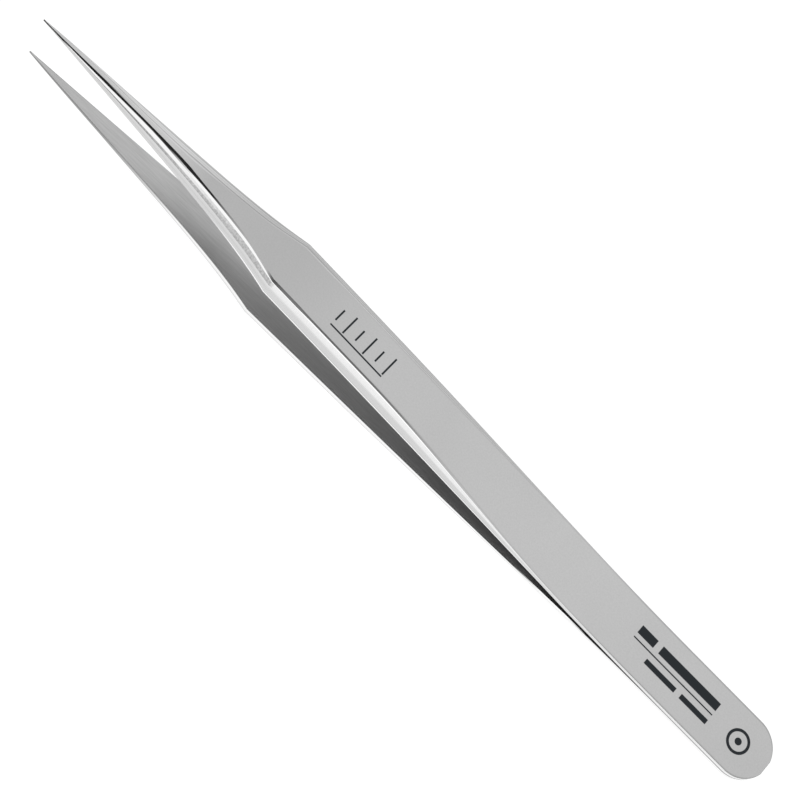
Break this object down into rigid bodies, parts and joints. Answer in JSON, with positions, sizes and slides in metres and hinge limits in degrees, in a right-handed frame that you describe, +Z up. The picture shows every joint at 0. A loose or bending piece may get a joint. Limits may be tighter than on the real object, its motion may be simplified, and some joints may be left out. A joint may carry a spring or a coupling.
{
  "type": "fine point tweezers",
  "caption": "Slim steel tweezers: blades welded at a rounded heel curl apart into thick bevelled grips, ground to needle points past sharp shoulders.",
  "frame": {"origin": "on the table, under the middle of the tweezers' box, as they lie on the heel end and the belly of the lower arm", "axes": "+X from the heel towards the points, +Y across the blades, +Z up, the way the upper arm opens"},
  "size_m": [0.0826, 0.0054, 0.0089],
  "materials": {
    "satin_steel": "satin, fine bead blasted",
    "ground_steel": "satin outer faces, ground and polished flanks"
  },
  "bodies": {
    "heel": {"upper_heel": "satin_steel", "lower_heel": "satin_steel"},
    "upper_arm": {"upper_arm": "ground_steel"},
    "lower_arm": {"lower_arm": "ground_steel"}
  },
  "joints": [
    {"name": "upper_squeeze", "type": "hinge", "parent": "heel", "child": "upper_arm", "pos_m": [-0.02506, 0, 0.0018], "axis": [0, 1, 0], "range_deg": [0, 2.65], "stiffness_Nm_per_rad": 0.4},
    {"name": "lower_squeeze", "type": "hinge", "parent": "heel", "child": "lower_arm", "pos_m": [-0.02502, 0, 0.00117], "axis": [0, -1, 0], "range_deg": [0, 2.65], "stiffness_Nm_per_rad": 0.4}
  ]
}
